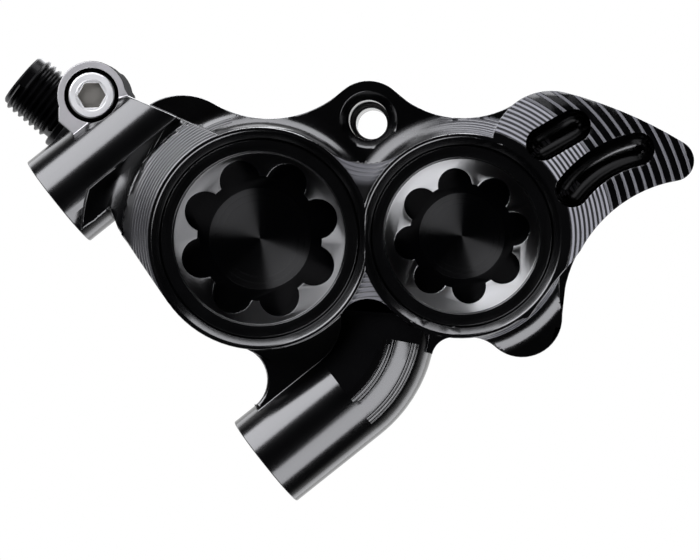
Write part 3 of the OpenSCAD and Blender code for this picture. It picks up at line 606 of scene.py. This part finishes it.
def swept_ball(length, cuts):
    """Half a ball with upright walls, stretched along x by length and cut across so that it can bend."""
    bm = bmesh.new()
    bmesh.ops.create_uvsphere(bm, u_segments=40, v_segments=20, radius=BALL)
    bmesh.ops.bisect_plane(bm, geom=everything(bm), plane_co=(0, 0, 0), plane_no=(0, 0, 1), clear_outer=True,
                           dist=1e-8)
    walls = bmesh.ops.extrude_edge_only(bm, edges=open_edges(bm))["geom"]
    rim = [g for g in walls if isinstance(g, bmesh.types.BMVert)]
    bmesh.ops.translate(bm, verts=rim, vec=(0, 0, BALL_WALL))
    bmesh.ops.holes_fill(bm, edges=open_edges(bm), sides=0)
    seam = 0.01
    cut_across(bm, seam)
    for vert in bm.verts:
        if vert.co.x > seam / 2:
            vert.co.x += length - seam
    for k in range(1, cuts):
        cut_across(bm, length * k / cuts)
    return bm


def carry(bm, length, path, fall):
    """Moves a swept ball to its path, which gives the middle and heading at a share of the length."""
    for vert in bm.verts:
        share = min(max(vert.co.x / length, 0), 1)
        (u, v), heading = path(share)
        ahead = vert.co.x - share * length
        side = vert.co.y
        vert.co = spot(u + ahead * math.cos(heading) - side * math.sin(heading),
                       v + ahead * math.sin(heading) + side * math.cos(heading),
                       BALL_START_W - fall * share + vert.co.z)
    bmesh.ops.recalc_face_normals(bm, faces=bm.faces)


def upper_path(share):
    """The short straight slot."""
    middle = (UPPER_START[0] + UPPER_RUN[0] * share, UPPER_START[1] + UPPER_RUN[1] * share)
    return middle, math.atan2(UPPER_RUN[1], UPPER_RUN[0])


def lower_path(share):
    """The long slot, bent on an arc."""
    angle = math.radians(LOWER_TURN[0] + (LOWER_TURN[1] - LOWER_TURN[0]) * share)
    middle = (LOWER_MIDDLE[0] + LOWER_REACH * math.cos(angle), LOWER_MIDDLE[1] + LOWER_REACH * math.sin(angle))
    return middle, angle - math.pi / 2


upper_length = math.hypot(*UPPER_RUN)
lower_length = LOWER_REACH * math.radians(LOWER_TURN[0] - LOWER_TURN[1])
upper_cut = swept_ball(upper_length, 4)
carry(upper_cut, upper_length, upper_path, fall=0.5)
lower_cut = swept_ball(lower_length, 14)
carry(lower_cut, lower_length, lower_path, fall=1.1)
print("cutter paths", round(upper_length, 2), round(lower_length, 2), "mm long")

# %% [markdown]
# The two mounting posts are tapped for M5 bolts. The CAD holes have the tap drill's diameter, so the copy's
# holes are opened to the thread's outer diameter and a helical ridge is put back in: a small profile, spun
# round the axis while it climbs by one pitch a turn.

# %% Threads and turned shapes
TURN_STEPS, FULL_STEPS = 40, 72
RIDGE_SINK = 0.06
BOLT_HOLES = [Vector((x, 0, 0)) * MM for x in (-17, 17)]


def profile_loop(bm, points):
    """A closed loop of corners and edges, as the spin operator wants it."""
    ring = [bm.verts.new(point) for point in points]
    return ring + [bm.edges.new((ring[k], ring[(k + 1) % len(ring)])) for k in range(len(ring))]


def thread_ridge(base, axis, root, crest, pitch, turns):
    """A helical ridge from root to crest radius in millimetres, climbing from base along axis."""
    axis = axis.normalized()
    out = axis.orthogonal().normalized()
    bm = bmesh.new()
    foot = root - (RIDGE_SINK if crest > root else -RIDGE_SINK)
    profile = [(foot, -0.46), (root, -0.4), (crest, -0.08), (crest, 0.08), (root, 0.4), (foot, 0.46)]
    loop = profile_loop(bm, [base + (out * r + axis * h * pitch) * MM for r, h in profile])
    bmesh.ops.spin(bm, geom=loop, cent=base, axis=axis, dvec=axis * pitch * MM / TURN_STEPS,
                   angle=math.tau * turns, steps=round(TURN_STEPS * turns), use_merge=False)
    bmesh.ops.holes_fill(bm, edges=open_edges(bm), sides=0)
    bmesh.ops.recalc_face_normals(bm, faces=bm.faces)
    return bm


def turned_part(base, axis, section):
    """Spins a closed half-section, given as radius and height in millimetres, all the way round an axis."""
    out = axis.orthogonal().normalized()
    bm = bmesh.new()
    loop = profile_loop(bm, [base + (out * r + axis * h) * MM for r, h in section])
    bmesh.ops.spin(bm, geom=loop, cent=base, axis=axis, angle=math.tau, steps=FULL_STEPS, use_merge=True)
    bmesh.ops.remove_doubles(bm, verts=bm.verts, dist=WELD)
    bmesh.ops.recalc_face_normals(bm, faces=bm.faces)
    return bm


def round_bar(base, axis, radius, length):
    """A plain cylinder from base along axis, as a cutting tool."""
    axis = axis.normalized()
    bm = bmesh.new()
    bmesh.ops.create_cone(bm, cap_ends=True, segments=64, radius1=radius * MM, radius2=radius * MM,
                          depth=length * MM)
    turn = UP.rotation_difference(axis).to_matrix().to_4x4()
    bmesh.ops.transform(bm, matrix=Matrix.Translation(base + axis * length / 2 * MM) @ turn, verts=bm.verts)
    return bm


print("bolt holes", len(BOLT_HOLES))

# %% [markdown]
# Taking a tool's shape away from the body with a Boolean gives the cut, just as the mill did.
# Besides the slots there are four kinds of cut: the sunk lands between the two collars, three more steps at the
# tip of the tail, the hollow floor of the flare beside the front post, and the two tapped holes.

# %% The other cuts
LAND, LIP = 5.95, 6.3
FLOOR_R, FLOOR_W, HOLLOW = 16.73, 3.35, 4.0
WINDOW_R, WINDOW_X = 18.2, -15.95


def cut_away(bm, *tools):
    """The bmesh with each tool's shape taken out of it."""
    helpers = []
    for shape in (bm, *tools):
        mesh = bpy.data.meshes.new("helper")
        shape.to_mesh(mesh)
        shape.free()
        helpers.append(add_object("helper", mesh))
    blank, *cutters = helpers
    for cutter in cutters:
        sink = blank.modifiers.new("sink", "BOOLEAN")
        sink.operation = "DIFFERENCE"
        sink.solver = "EXACT"
        sink.object = cutter
    bpy.context.view_layer.update()
    result = bmesh.new()
    result.from_object(blank, bpy.context.evaluated_depsgraph_get())
    for helper in helpers:
        mesh = helper.data
        bpy.data.objects.remove(helper)
        bpy.data.meshes.remove(mesh)
    bmesh.ops.remove_doubles(result, verts=result.verts, dist=WELD)
    return result


def trim(tool, start, keep):
    """Cuts a tool off at a plane and closes it again; the side that keep points to stays."""
    bmesh.ops.bisect_plane(tool, geom=everything(tool), plane_co=start, plane_no=keep, clear_inner=True, dist=1e-7)
    bmesh.ops.holes_fill(tool, edges=open_edges(tool), sides=0)
    bmesh.ops.recalc_face_normals(tool, faces=tool.faces)


between_bores = bmesh.new()
bmesh.ops.create_cube(between_bores, size=1)
for vert in between_bores.verts:
    vert.co = spot(10.25 + 18 * vert.co.x, 26 * vert.co.y, LAND + 2 + 4 * vert.co.z)
bmesh.ops.recalc_face_normals(between_bores, faces=between_bores.faces)
lips = [round_bar(spot(across, 0, LAND - 3), OUTBOARD, lip_r, 9)
        for across, lip_r in ((0, 11.25), (BORE_GAP, 10.35))]
between_bores = cut_away(between_bores, *lips)

tail_end = turned_part(spot(BORE_GAP, 0, 0), OUTBOARD, [
    (23.39, 0.7), (24.07, 0.25), (24.37, 0.25), (25.05, -0.2), (25.35, -0.2), (26.03, -0.65),
    (31, -0.65), (31, 3), (23.39, 3)])
trim(tail_end, spot(30, 0, 0), ALONG)

hollow = [(FLOOR_R + HOLLOW * math.sin(math.radians(a)), FLOOR_W + HOLLOW * (1 - math.cos(math.radians(a))))
          for a in range(-44, 1, 2)]
flare_floor = turned_part(spot(0, 0, 0), OUTBOARD,
                          hollow + [(WINDOW_R, FLOOR_W), (WINDOW_R, 10), (hollow[0][0], 10)])
trim(flare_floor, spot(-4.5, 0, 0), -ALONG)
trim(flare_floor, Vector((WINDOW_X, 0, 0)) * MM, Vector((1, 0, 0)))

tapped = [round_bar(hole - UP * 0.5 * MM, UP, 2.5, 7.4) for hole in BOLT_HOLES]
body_bm = welded_copy("caliper_body")
print("body welded", len(body_bm.faces), "faces", sum(not e.is_manifold for e in body_bm.edges), "open edges")
body_bm = cut_away(body_bm, upper_cut, lower_cut, between_bores, tail_end, flare_floor, *tapped)
print("body cut", len(body_bm.faces), "faces", sum(not e.is_manifold for e in body_bm.edges), "open edges")

# %% [markdown]
# The body was milled from solid, so its surfaces differ: most are smooth and mirror-black, the slopes round the
# bores keep the cutter's rings under a painted sheen, and the face under the bleed screw was cut bright after
# anodising.
# Walls in shade beside the bleed boss and inside the elbow's bend get a dull near-black, a painted shade.
# Each face is sorted to a finish by where it lies and which way it looks.

# %% Sorting the faces of the body
SMOOTH, FLARE_RINGS, FINE_STEPS, SPOT_FACE, COVE_RINGS, PIN_LAND, ELBOW_LAND, TAIL_LANDS, ELBOW, PAINTED_SHADE = range(10)
BODY_FINISHES = [anodised, milled_flare_painted_sheen, milled_steps_painted_sheen, bare_aluminium, milled_cove_painted_sheen, milled_pin_land_painted_sheen,
                 milled_post_land_painted_sheen, milled_lands_painted_sheen, ribbed, painted_shade_black]
POST_R, FRONT_POST_X = 5.15, -17
BAND_END = math.radians(39.5)
SPOT_FACE_W = 3


def lies_in_slot(u, v):
    """Whether a point of the tail is inside one of the two slots, seen from outboard."""
    middles = [path(share / 12)[0] for path in (upper_path, lower_path) for share in range(13)]
    return min(away(u, v, middle) for middle in middles) < BALL


def circles(face, du, dv, slack):
    """Whether a face tilts only towards or away from an axis, as a cut that circles the axis leaves it."""
    facing = face.normal.dot(OUTBOARD)
    lean = (face.normal.dot(ALONG) * du + face.normal.dot(RISE) * dv) / math.hypot(du, dv)
    return abs(facing * facing + lean * lean - 1) < slack


def cut_zone(face):
    """Which finish a face of the body gets, by its place and the way it looks."""
    middle = face.calc_center_median()
    u, v, w = bore_reading(middle)
    x, y, z = (value / MM for value in middle)
    facing = face.normal.dot(OUTBOARD)
    from_bleed = away(u, v, BLEED_AXIS)
    # Painted shade: the shaded walls beside the bleed boss take the dull near-black.
    if from_bleed < 7.5 and abs(facing) < 0.25 and u > BLEED_AXIS[0] and -9 < w < 2.9:
        return PAINTED_SHADE
    from_bend = math.hypot(x - BEND_X, z - BEND_Z)
    # The inside of the elbow's bend, and its side past the band, take the painted shade as well; the rest of the
    # elbow is ribbed.
    if abs(math.hypot(from_bend - BEND_R, y) - POST_R) < 0.08 and z > BEND_Z:
        past_band = math.atan2(z - BEND_Z, x - BEND_X) > BAND_END
        return PAINTED_SHADE if from_bend < 9.4 or past_band and from_bend < 13.7 else ELBOW
    if facing < 0.25 or w < -0.45 or abs(math.hypot(x - FRONT_POST_X, y) - POST_R) < 0.08:
        return SMOOTH
    if abs(w - SPOT_FACE_W) < 0.02 and facing > 0.99 and from_bleed < 7:
        return SPOT_FACE
    flat = facing > 0.999
    if flat and abs(w - LAND) < 0.02 and 0 < u < 20:
        return PIN_LAND if v > 0 else ELBOW_LAND
    if u < -3 and v > -11 and 11.3 < math.hypot(u, v) < 13.97:
        if 0.75 < facing < 0.9 and circles(face, u, v, 0.01):
            return FLARE_RINGS
    from_small = away(u, v, SMALL_AXIS)
    if u > 22 and v > -8 and from_small > 10.4 and flat and not lies_in_slot(u, v):
        return FINE_STEPS if from_small < 15.2 else TAIL_LANDS
    if 10.3 < from_small < 13 and w < 2.3 and facing < 0.99 and u > 10.5 and (v > -2 or w > 0.5):
        return COVE_RINGS if circles(face, u - BORE_GAP, v, 0.02) else SMOOTH
    return SMOOTH


for face in body_bm.faces:
    face.material_index = cut_zone(face)
print("faces by zone", [sum(f.material_index == zone for f in body_bm.faces)
                        for zone in range(len(BODY_FINISHES))])

# %% [markdown]
# Not every edge of the block takes the same round. The back's outline is generously broken, most edges are just
# deburred, and where short edges crowd together only the faintest round fits without spoiling the faces.

# %% Rounding the body
FAINT, SMALL, USUAL, SOFT, WIDE = 0.02, 0.06, 0.14, 0.4, 0.9
SEGMENTS = {FAINT: 1, SMALL: 2, USUAL: 2, SOFT: 3, WIDE: 5}
CROWDED = [((17.2, -10.6), 2.6), ((23.9, 10.4), 1.2)]
BACK_HOLES = [PIN_AXIS, (-10.4, 11.1)]
BACK_W = -28.3


def on_window(point):
    """Whether a corner lies on the walls that the flare's floor leaves in the front post."""
    u, v, _ = bore_reading(point)
    return abs(point.x / MM - WINDOW_X) < 0.05 or abs(math.hypot(u, v) - WINDOW_R) < 0.06


def lies_at(edge, w, slack):
    """Whether both ends of an edge are at a height w."""
    return all(abs(bore_reading(end.co)[2] - w) < slack for end in edge.verts)


def edge_round(edge):
    """Width in millimetres of the round that an edge of the body gets, or 0 where it stays sharp."""
    if not edge.is_manifold or edge.calc_face_angle() < SHARP:
        return 0
    u, v, w = bore_reading((edge.verts[0].co + edge.verts[1].co) / 2)
    juts_out = edge.calc_face_angle_signed() > 0
    if w > -15 and any(away(u, v, middle) < room for middle, room in CROWDED):
        return FAINT
    if 0 < u < BORE_GAP and lies_at(edge, LAND, 0.05):
        return FAINT
    # The foot of the wall behind the upper land.
    if 7.8 < u < 13.8 and 7.2 < v < 8.4 and abs(w) < 1.5:
        return 0
    if away(u, v, PIN_AXIS) < 4.2 and w > -8:
        return SMALL
    # The hollow edge beside the elbow.
    if -1.9 < u < 1.7 and -17.2 < v < -11.3 and w > -6 and juts_out:
        return SOFT
    if w > 3.4 and all(on_window(end.co) for end in edge.verts):
        return FAINT
    if lies_at(edge, BACK_W, 0.02) and juts_out:
        return USUAL if min(away(u, v, hole) for hole in BACK_HOLES) < 4.5 else WIDE
    # The short edges of the tail's steps.
    if u > 20 and away(u, v, SMALL_AXIS) > 10.4 and w > -1.5 and edge.calc_length() < 1.2 * MM:
        return SMALL
    return USUAL


surface = BVHTree.FromBMesh(body_bm)
for width, segments in SEGMENTS.items():
    round_edges(body_bm, [e for e in body_bm.edges if edge_round(e) == width], width, segments)
print("body rounded", len(body_bm.faces), "faces,", drawn_back(body_bm, surface, 0.2), "stray corners drawn back")
for vert in body_bm.verts:
    vert.co.y = max(vert.co.y, -LIP * MM)
finished("caliper_block", body_bm, BODY_FINISHES, "caliper", "body", "caliper_body")

# %% [markdown]
# The thread ridges go into the two opened holes. A bolt cuts through the anodising, so they are bare metal.

# %% Threads in the posts
for side, hole in zip(("front", "rear"), BOLT_HOLES):
    ridge = thread_ridge(hole + UP * 0.75 * MM, UP, root=2.5, crest=2.1, pitch=0.8, turns=7)
    finished(side + "_post_thread", ridge, [bare_aluminium], "caliper", "body")

# %% [markdown]
# The bore caps are turned and then broached with an eight-lobed socket. Their outer rim is polished black,
# the ring round the socket shows the lathe's marks as a fan of light, and the socket's floor is nearly black.

# %% The bore caps
CAP_RING_W = 4.9


def dressed(name, node, materials, body, slot, width, zone=None, shape=None):
    """A copy of a node with rounded edges, its faces sorted to finishes by zone, standing for that node."""
    bm = welded_copy(node)
    if shape:
        shape(bm)
        bm.normal_update()
    if zone:
        for face in bm.faces:
            face.material_index = zone(face)
    surface = BVHTree.FromBMesh(bm)
    round_edges(bm, [e for e in bm.edges if e.is_manifold and e.calc_face_angle() > SHARP], width)
    drawn_back(bm, surface, 1.5 * width)
    return finished(name, bm, materials, body, slot, node)


def cap_zone(face):
    """0 polished rim and walls, 1 turned ring, 2 socket floor, 3 the bright band on it."""
    u, _, w = bore_reading(face.calc_center_median())
    if face.normal.dot(OUTBOARD) < 0.99:
        return 0
    if abs(w - CAP_RING_W) < 0.03:
        return 1
    if w > 4:
        return 0
    axis, low, high = (LARGE_BORE, 3.9, 5.2) if u < BORE_GAP / 2 else (SMALL_BORE, 3.25, 4.4)
    corners = [math.hypot(v.co.x - axis.x, v.co.z - axis.z) for v in face.verts]
    return 3 if low < sum(corners) / len(corners) / MM < high else 2


for size, ring_finish in (("large", turned_large), ("small", turned_small)):
    dressed(size + "_cap", size + "_bore_cap", [anodised, ring_finish, turned_floor, turned_band],
            "caliper", "cap", 0.04, cap_zone)

# %% [markdown]
# The hose connector is a turned steel fitting: a spigot in the body, a flange, and a thread for the hose nut.
# Its half-section is spun into a ring round its own axis, and the thread is the same helical ridge as before,
# this time on the outside.

# %% The hose connector
HOSE_END = Vector((-29.85, 8.2, 4.5)) * MM
HOSE_WAY = Vector((-0.97958, 0, -0.20108)).normalized()
HOSE_ROOT = 2.93
fitting = turned_part(HOSE_END, HOSE_WAY, [
    (1.6, -12.12), (1.6, -0.75), (2.3, 0), (2.75, 0), (HOSE_ROOT, -0.2), (HOSE_ROOT, -6.12), (3.5, -6.12),
    (3.6, -6.22), (3.6, -6.92), (2.5, -6.92), (2.5, -12.02), (2.4, -12.12)])
finished("hose_fitting", fitting, [thread_black], "caliper", "connector", "hose_connector")
ridge = thread_ridge(HOSE_END - HOSE_WAY * 5.76 * MM, HOSE_WAY, root=HOSE_ROOT, crest=3.25, pitch=0.72, turns=7.1)
finished("hose_thread", ridge, [thread_black], "caliper", "connector")

# %% [markdown]
# The bleed screw is plain bright steel: only its round head with the hex socket shows.
# The working pieces inside, pistons, inserts, plates, linings and plug, get the small rounds of real pieces.

# %% The working pieces
SOCKET_DEPTH = 0.7


def shallow_socket(bm):
    """Raises the floor of the hex socket, which a real screw of this size has closer to its mouth."""
    inside = [v for v in bm.verts if away(*bore_reading(v.co)[:2], BLEED_AXIS) < 1.5]
    mouth = max(bore_reading(v.co)[2] for v in inside)
    socket_floor = [v for v in inside if 0.8 < mouth - bore_reading(v.co)[2] < 2.6]
    for vert in socket_floor:
        vert.co += OUTBOARD * (mouth - SOCKET_DEPTH - bore_reading(vert.co)[2]) * MM
    print("hex socket", len(socket_floor), "corners raised")


def bleed_zone(face):
    """0 the bright head, 1 the floor and flats of its hex socket."""
    u, v, w = bore_reading(face.calc_center_median())
    return int(away(u, v, BLEED_AXIS) < 1.4 and w < 2.55 and face.normal.dot(OUTBOARD) > -0.2)


dressed("bleed_head", "bleed_screw", [bright_screw, socket_steel], "bleed_screw", "bleed_screw", 0.04,
        bleed_zone, shallow_socket)
dressed("passage_plug", "gallery_plug", [anodised], "caliper", "cap", 0.12)
dressed("crush_washer", "connector_washer", [black_steel], "caliper", "washer", 0.1)
for side in ("outer", "inner"):
    for size in ("large", "small"):
        body = side + "_" + size + "_piston"
        dressed(body + "_cup", body, [piston_steel], body, "piston", 0.18)
        dressed(body + "_pad", side + "_" + size + "_insert", [insert_resin], body, "insert", 0.15)
    pad = side + "_pad"
    dressed(pad + "_back", pad + "_plate", [plate_steel], pad, "plate", 0.14)
    dressed(pad + "_friction", pad + "_lining", [lining], pad, "lining", 0.16)

# %% [markdown]
# The pad spring is a bent sheet between the two plates; on the real brake it gives as the pads close.
# Here its copy only gets a mesh of its own.

# %% The pad spring
leaf = dressed("pad_leaf_spring", "pad_spring", [spring_steel], "caliper", "spring", 0.05)
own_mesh(leaf)

# %% [markdown]
# The rubber rings already have the right shape, so they keep it and only get their finish.

# %% Rubber rings
for part in frame["record"]["subparts"]:
    if part["material_slot"] == "rubber":
        ring_data = frame["nodes"][part["node"]].data
        ring_data.materials.clear()
        ring_data.materials.append(rubber)
print("rubber set")
